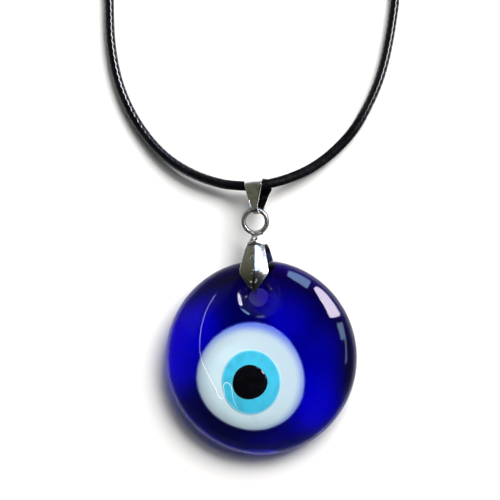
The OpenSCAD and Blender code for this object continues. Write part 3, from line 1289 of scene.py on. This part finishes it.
@dataclass
class FoldedBail:
    """The strip that is folded round the cord and through the pinch bail's ring."""

    side: float = -1.25
    wire_y: float = 31.03
    lift: float = 2.6
    slope: float = 20.0
    turn: float = 15.0
    rise: float = 4.7
    low_r: float = 0.95
    top_r: float = 1.85
    low_w: float = 1.3
    top_w: float = 3.7
    thick: float = 0.34
    edge: float = 0.07
    low_skew: float = 1.0
    top_skew: float = 1.25
    points: int = 96
    across: int = 8
    lip_r: float = 0.14
    lip: tuple[Pair, ...] = ((-1.02, 1.6), (-0.84, 0.8), (-0.5, 0.0), (-0.06, -0.36), (0.26, -0.2))
    finish: SilverPlate = SilverPlate("folded_plate", ring_r=0.0, half_wire=0.01)

    @staticmethod
    def _fold(radius: float, angle: float, up: float = 0.0) -> Vector:
        """Returns a place on a fold, in the strip's own frame."""
        return Vector((0, up + radius * math.cos(angle), radius * math.sin(angle)))

    def _leaf(self) -> tuple[float, Vector, Vector]:
        """Returns the upper fold's half turn, and the front leaf's upper and lower ends."""
        half = math.pi / 2 + math.asin((self.top_r - self.low_r) / self.rise)
        return half, self._fold(self.top_r, half, self.rise), self._fold(self.low_r, half)

    def _tongue(self) -> Piece:
        """Models the rounded lip of the front leaf's tongue.

        Returns:
            The lip, in the strip's own frame.
        """
        _, top, low = self._leaf()
        stops = []
        for x, y in self.lip:
            z = low.lerp(top, (y - low.y) / (top.y - low.y)).z + self.thick / 2
            if y <= low.y:
                z = math.sqrt((self.low_r + self.thick / 2) ** 2 - y**2)
            stops.append((x, y, z))
        return Piece.tube("tongue_lip", stops, [self.lip_r] * len(stops), bends=8)

    def _outline(self) -> list[Vector]:
        """Lays out the strip's middle line, round the upper fold, down the front, and back up behind.

        Returns:
            Places a step apart, in the strip's own frame.
        """
        half, start, end = self._leaf()
        straight = (end - start).length
        top, low = 2 * half * self.top_r, 2 * (math.pi - half) * self.low_r
        line = []
        for i in range(self.points):
            s = (top + low + 2 * straight) * i / self.points
            if s < top:
                line.append(self._fold(self.top_r, s / self.top_r - half, self.rise))
            elif s < top + straight:
                line.append(start.lerp(end, (s - top) / straight))
            elif s < top + straight + low:
                line.append(self._fold(self.low_r, half + (s - top - straight) / self.low_r))
            else:
                place = end.lerp(start, (s - top - straight - low) / straight)
                line.append(Vector((0, place.y, -place.z)))
        return line

    def build(self) -> Piece:
        """Models and dresses the bail.

        Returns:
            The piece.
        """
        circle = bpy.ops.mesh.primitive_circle_add
        turn = (0, math.pi / 2, 0)
        strip = Piece.add("strip", circle, vertices=self.points, radius=self.top_r * MM, rotation=turn)
        strip.pick()
        for _ in range(self.across):
            bpy.ops.mesh.extrude_region_move(TRANSFORM_OT_translate={"value": (MM, 0, 0)})
        line = self._outline()

        def rule(index: int, place: Vector) -> Vector:
            """Lays a vertex on the folded line, and tapers the strip.

            Args:
                index: The vertex's number.
                place: Its place on the flat strip.

            Returns:
                Its place on the folded one.
            """
            across = 2 * (index // self.points) / self.across - 1
            where = line[index % self.points]
            share = min(max(where.y / self.rise, 0), 1)
            half = (self.low_w + (self.top_w - self.low_w) * share) / 2
            behind = 0.5 - 0.5 * min(max(where.z / self.low_r, -1), 1)
            skew = behind * (self.low_skew + (self.top_skew - self.low_skew) * share)
            return Vector((half * across + skew, where.y, where.z)) * MM

        strip.reshape(rule)
        strip.face_out()
        strip.modify("SOLIDIFY", thickness=self.thick * MM, offset=0.0)
        strip.bevel(self.edge, segments=2, angle_deg=50)
        piece = strip.join("folded_bail_strip", [self._tongue()])
        own = Matrix.Translation((self.side * MM, self.wire_y * MM, self.lift * MM))
        slope = Matrix.Rotation(-math.radians(self.slope + LIE.lean), 4, "X")
        roll = Matrix.Rotation(-math.radians(self.turn), 4, "Y")
        place = LIE.matrix() @ own @ slope @ roll
        return piece.dress(40, place, self.finish.material(), Slot.SILVER, "folded_bail")


@dataclass
class BarrelClasp:
    """The turned barrel clasp, with a bead at each end of its barrel."""

    x: float = -2.0
    y: float = 173.5
    length: float = 24.0
    barrel: float = 12.0
    barrel_r: float = 2.3
    cap_r: float = 1.7
    cord_r: float = 1.02
    sides: int = 64

    def build(self, plate: Finish) -> Piece:
        """Models and dresses the clasp.

        Args:
            plate: Its finish.

        Returns:
            The piece.
        """
        half, barrel, cap, big = self.length / 2, self.barrel / 2, self.cap_r, self.barrel_r
        right = [
            (0.0, big - 0.14), (0.12, big - 0.14), (0.22, big - 0.02), (0.5, big), (barrel - 1.3, big),
            (barrel - 1.15, big - 0.12), (barrel - 1.0, big - 0.12), (barrel - 0.85, big),
            (barrel - 0.3, big), (barrel - 0.08, big - 0.1), (barrel, big - 0.32), (barrel, cap + 0.05),
            (barrel + 0.1, cap - 0.05), (half - 1.3, cap - 0.05), (half - 1.2, cap), (half - 0.9, cap),
            (half - 0.3, cap), (half - 0.08, cap - 0.1), (half, cap - 0.32),
            (half, self.cord_r), (half, 0.02),
        ]
        rings = [*(Ring(r, -z) for z, r in reversed(right)), *(Ring(r, z) for z, r in right[1:])]
        piece = Piece.stack("barrel_clasp", rings, self.sides, Closing.POLES)
        place = Matrix.Translation((self.x * MM, self.y * MM, big * MM))
        across = Matrix.Rotation(math.pi / 2, 4, "Y")
        return piece.dress(35, place @ across, plate, Slot.SILVER, "clasp")


@dataclass
class NeckCord:
    """The waxed cord, laid along the same route as its CAD tube, in millimetres."""

    diameter: float = 2.0
    pitch: float = 7.0
    carriers: int = 5
    groove: float = 0.055
    crest: float = 0.01
    sides: int = 40
    step: float = 0.2
    route: tuple[Triple, ...] = (
        (-14, 173.5, 1.3),
        (-18.4, 173.2, 0.8), (-23.4, 171.2, 0.3), (-27.4, 167.3, 0), (-30.2, 161.3, 0),
        (-31.6, 152.5, 0), (-32, 138.5, 0), (-32.1, 120.5, 0), (-32.1, 103, 0), (-32.1, 83, 0),
        (-31.9, 66, 0), (-31.5, 57, 0), (-30.05, 49.4, 0), (-27.25, 42.6, 0.1), (-23.35, 36.8, 0.3),
        (-19.0, 32.6, 0.75), (-13.9, 29.6, 1.15), (-8.6, 27.8, 1.35), (-4.4, 27.25, 2), (-1.4, 27.25, 2.6),
        (1.8, 27.7, 2.4), (6, 28.95, 1.5), (10.2, 30.85, 0.8), (14.4, 33.8, 0.3), (18.75, 38.2, 0.1),
        (21.9, 43.2, 0), (24.65, 49.4, 0), (26.5, 56.3, 0), (28, 66, 0), (28.3, 75, 0),
        (28.3, 90, 0), (28.3, 110, 0), (28.3, 131.5, 0), (28, 147.5, 0), (27, 158.1, 0),
        (24.4, 165.9, 0), (20.2, 170.7, 0.3), (14.6, 173.2, 0.8),
        (10, 173.5, 1.3),
    )

    def centre_line(self) -> list[Vector]:
        """Draws the smooth line through the route.

        Returns:
            Points a step apart, in millimetres.
        """
        stops = [Vector(stop) for stop in self.route]
        line: list[Vector] = []
        for i, (b, c) in enumerate(zip(stops, stops[1:])):
            a, d = stops[max(i - 1, 0)], stops[min(i + 2, len(stops) - 1)]
            parts = math.ceil((c - b).length / self.step)
            for k in range(parts):
                t = k / parts
                line.append(0.5 * (
                    2 * b + (c - a) * t + (2 * a - 5 * b + 4 * c - d) * t**2 + (3 * b - a - 3 * c + d) * t**3
                ))
        line.append(stops[-1])
        for point in line:
            point.z = self.diameter / 2 + max(point.z, 0.0)
        return line

    def _relief(self, done: float, turn: float) -> float:
        """Finds how far the waxed braid stands in from the cord's radius.

        Args:
            done: The length so far, in millimetres.
            turn: The angle round the cord.

        Returns:
            The depth, in millimetres.
        """
        wind = math.tau * done / self.pitch
        one, two = math.sin(self.carriers * (turn + wind)), math.sin(self.carriers * (turn - wind))
        return self.groove * (1 - math.sqrt(max(one, two, 0.0))) - self.crest

    def _braid(self, line: Sequence[Vector]) -> Piece:
        """Models the braid round its line.

        Args:
            line: The line.

        Returns:
            The braid, with the length so far and the share of a turn in its UV map.
        """
        corners: list[Vector] = []
        places: list[Pair] = []
        done = 0.0
        for i, point in enumerate(line):
            ahead = line[min(i + 1, len(line) - 1)] - line[max(i - 1, 0)]
            along = Vector((-1, 0, 0)) if i in (0, len(line) - 1) else ahead.normalized()
            side = Vector((0, 0, 1)).cross(along).normalized()
            rise = along.cross(side)
            if i:
                done += (point - line[i - 1]).length
            for k in range(self.sides):
                turn = math.tau * k / self.sides
                reach = self.diameter / 2 - self._relief(done, turn)
                corners.append((point + reach * (math.cos(turn) * side + math.sin(turn) * rise)) * MM)
                places.append((done, k / self.sides))
        faces: list[tuple[int, ...]] = []
        for i in range(len(line) - 1):
            for k in range(self.sides):
                a, b = i * self.sides + k, i * self.sides + (k + 1) % self.sides
                faces.append((a, b, b + self.sides, a + self.sides))
        faces.append(tuple(range(self.sides - 1, -1, -1)))
        faces.append(tuple(range(len(corners) - self.sides, len(corners))))
        mesh = bpy.data.meshes.new("waxed_neck_cord")
        mesh.from_pydata(corners, [], faces)
        layer = mesh.uv_layers.new(name="strand")
        for loop in mesh.loops:
            layer.data[loop.index].uv = places[loop.vertex_index]
        piece = Piece(bpy.data.objects.new("waxed_neck_cord", mesh))
        bpy.context.collection.objects.link(piece.made)
        piece.face_out()
        return piece

    def build(self) -> Piece:
        """Returns:
            The piece.
        """
        line = self.centre_line()
        cord = self._braid(line)
        piece = cord.dress(70, Matrix.Identity(4), WaxedCotton().material(), Slot.CORD, "neck_cord").made
        path = [point * MM for point in line]
        length = sum((b - a).length for a, b in zip(path, path[1:]))
        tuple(path[0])
        return cord


# The stage


class Seen(Enum):
    """What a pane's light reaches."""

    MATT = auto()
    MIRROR = auto()


@dataclass(frozen=True)
class Pane:
    """A glowing pane seen from the disc: where it stands in degrees, how big it is and how bright."""

    name: str
    azimuth: float
    elevation: float
    wide: float
    high: float
    glow: float
    colour: Triple
    seen: Seen = Seen.MIRROR
    roll: float = 0.0
    distance: float = 0.7

    def hang(self) -> bpy.types.Object:
        """Hangs the pane, facing the pendant.

        Returns:
            Its lamp.
        """
        a, e = math.radians(self.azimuth), math.radians(self.elevation)
        way = Vector((math.cos(e) * math.cos(a), math.cos(e) * math.sin(a), math.sin(e)))
        clear()
        bpy.ops.object.light_add(type="AREA", location=way * self.distance)
        lamp = bpy.context.object
        lamp.name = lamp.data.name = self.name
        turn = way.to_track_quat("Z", "Y").to_matrix() @ Matrix.Rotation(math.radians(self.roll), 3, "Z")
        lamp.rotation_euler = turn.to_euler()
        lamp.data.shape = "RECTANGLE"
        lamp.data.size = self.wide
        lamp.data.size_y = self.high
        lamp.data.color = self.colour
        lamp.data.energy = self.glow * self.wide * self.high * math.pi
        mirror = self.seen is Seen.MIRROR
        lamp.visible_glossy = mirror
        lamp.visible_diffuse = lamp.visible_transmission = lamp.visible_volume_scatter = not mirror
        return lamp


@dataclass
class Studio:
    """The white table, the window light and the camera that looks straight down."""

    view_mm: float = 104.5
    centre: Pair = (-2.36, 13.84)
    distance: float = 0.45
    focus_mm: float = 3.0
    sensor: float = 36.0
    table_size: float = 4.0
    panes: tuple[Pane, ...] = (
        Pane("window", 58, 40, 0.58, 0.34, 13.3, (1.0, 0.98, 0.97), Seen.MATT),
        Pane("window_glow", 60, 42, 1.1, 0.75, 1.7, (1.0, 1.0, 0.97), Seen.MATT),
        Pane("window_main", 32.5, 36.6, 0.25, 0.17, 19.0, (0.92, 0.82, 1.0), roll=-10),
        Pane("window_sill", 32.5, 28.2, 0.25, 0.02, 26.0, (1.0, 0.95, 1.0), roll=-8),
        Pane("window_left", 60, 37.5, 0.17, 0.2, 8.0, (0.38, 0.6, 1.0)),
        Pane("window_right", 9, 36, 0.12, 0.09, 6.0, (0.4, 0.6, 0.85)),
        Pane("window_far", -5, 33, 0.17, 0.03, 3.0, (0.6, 0.7, 1.0)),
        Pane("dark_room", 136, 44, 0.6, 0.42, 0.1, (1.0, 1.0, 0.7)),
        Pane("far_wall", 95, 37, 0.19, 0.15, 2.5, (1.0, 1.0, 1.0)),
    )
    cord_panes: tuple[Pane, ...] = (
        Pane("cord_gleam", 19, 50, 0.42, 0.24, 30.0, (0.95, 0.97, 1.0)),
        Pane("cord_glint", -12, 60, 0.1, 0.24, 8.0, (0.85, 0.88, 1.0)),
    )
    sky: tuple[tuple[float, Triple], ...] = (
        (0.0, (0.3, 0.33, 0.38)),
        (0.25, (0.27, 0.29, 0.31)),
        (0.5, (0.05, 0.055, 0.045)),
        (0.8, (0.02, 0.022, 0.02)),
        (1.0, (0.006, 0.007, 0.007)),
    )

    def camera(self) -> None:
        """Hangs the camera over the pendant."""
        clear()
        x, y = (value * MM for value in self.centre)
        bpy.ops.object.camera_add(location=(x, y, self.distance + self.focus_mm * MM), rotation=(0, 0, 0))
        camera = bpy.context.object
        camera.name = camera.data.name = "camera"
        camera.data.sensor_width = self.sensor
        camera.data.lens = self.sensor * self.distance / (self.view_mm * MM)
        bpy.context.scene.camera = camera

    def table(self) -> None:
        """Lays the white table."""
        grid = bpy.ops.mesh.primitive_grid_add
        table = Piece.add("table", grid, x_subdivisions=8, y_subdivisions=8, size=self.table_size).made
        table.data.materials.append(WhitePaper().material())

    def light(self, cord: Piece) -> None:
        """Hangs the window's panes and sets the room's own light.

        Args:
            cord: The waxed cord, which two panes shine on alone.
        """
        for pane in self.panes:
            pane.hang()
        shines_on = bpy.data.collections.new("cord_gleam_on")
        shines_on.objects.link(cord.made)
        for pane in self.cord_panes:
            pane.hang().light_linking.receiver_collection = shines_on
        world = bpy.data.worlds.new("room")
        bpy.context.scene.world = world
        graph = Graph(world)
        coords = graph.node("ShaderNodeTexCoord", {}, {})
        height = graph.axes(coords.outputs["Generated"])[2]
        ramp = graph.node("ShaderNodeValToRGB", {"stops": self.sky}, {"Fac": height})
        room = graph.node("ShaderNodeBackground", {}, {"Color": ramp.outputs[0]})
        graph.node("ShaderNodeOutputWorld", {}, {"Surface": room.outputs[0]})

    def look(self) -> None:
        """Shows colours as a plain photograph does."""
        bpy.context.scene.view_settings.view_transform = "Standard"


def eye_layers() -> Iterable[EyeLayer]:
    """Lists the eye's three drops.

    Yields:
        The drops, from the lowest to the highest.
    """
    yield EyeLayer(
        "white_drop", "eye_white", Slot.WHITE,
        MeltedGlass(
            "white_melt", body=(0.63, 0.82, 0.885, 1), cloudy=(0.58, 0.76, 0.86, 1),
            edge=(0.08, 0.14, 0.62, 1), centre=(-2.6, -4.3, 6.5), radius=10.8, fade=1.3,
            # The upper and shade tones are painted shade.
            upper=(0.46, 0.59, 0.7, 1), shade=(0.42, 0.54, 0.62, 1),
        ),
        x=-2.15, y=-3.55, radius=11.2, floor=4.5, waves=(Wave(0.19, 2, 122), Wave(0.19, 3, 77)),
        profile=((1.0, -1.0), (1.02, -0.5), (1.015, -0.12), (1.0, -0.02), (0.985, 0.015), (0.95, 0.03)),
    )
    yield EyeLayer(
        "iris_drop", "eye_iris", Slot.LIGHT_BLUE,
        MeltedGlass(
            "iris_melt", body=(0.053, 0.51, 0.75, 1), cloudy=(0.05, 0.43, 0.65, 1), edge=(0.6, 0.83, 0.92, 1),
            centre=(-2.15, -4.5, 7.5), radius=6.1, fade=0.45, clouds=2.0, tall=1.1,
        ),
        x=-2.15, y=-4.5, radius=6.5, floor=6.0, waves=(Wave(0.33, 2, 94), Wave(0.11, 3, 8)),
        profile=((1.0, -0.5), (1.02, -0.2), (1.015, 0.0), (1.0, 0.04), (0.98, 0.06), (0.94, 0.065)),
    )
    yield EyeLayer(
        "pupil_drop", "eye_pupil", Slot.BLACK,
        MeltedGlass(
            "pupil_melt", body=(0.002, 0.002, 0.003, 1), cloudy=(0.003, 0.003, 0.005, 1),
            edge=(0.003, 0.004, 0.006, 1), centre=(-2.4, -4.5, 7.5), radius=3.6, fade=0.2, clouds=2.0,
        ),
        x=-2.4, y=-4.5, radius=3.6, floor=6.7, waves=(Wave(0.06, 2, 43), Wave(0.06, 3, 108)),
        profile=((1.0, -0.2), (1.005, 0.07), (1.0, 0.1), (0.98, 0.137), (0.95, 0.192), (0.92, 0.247),
                 (0.9, 0.283), (0.86, 0.31), (0.8, 0.32)),
    )


def main() -> None:
    """Builds the scene."""
    logging.basicConfig(level=logging.INFO, format="%(name)s: %(message)s")
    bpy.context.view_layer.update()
    studio = Studio()
    studio.camera()
    plate = SilverPlate().material()
    BarrelClasp().build(plate)
    cord = NeckCord().build()
    GlassDisc().build()
    for layer in eye_layers():
        layer.build()
    GlassThread().build()
    PinchBail().build(plate)
    FoldedBail().build()
    studio.table()
    studio.light(cord)
    studio.look()
    clear()


if __name__ == "__main__":
    main()
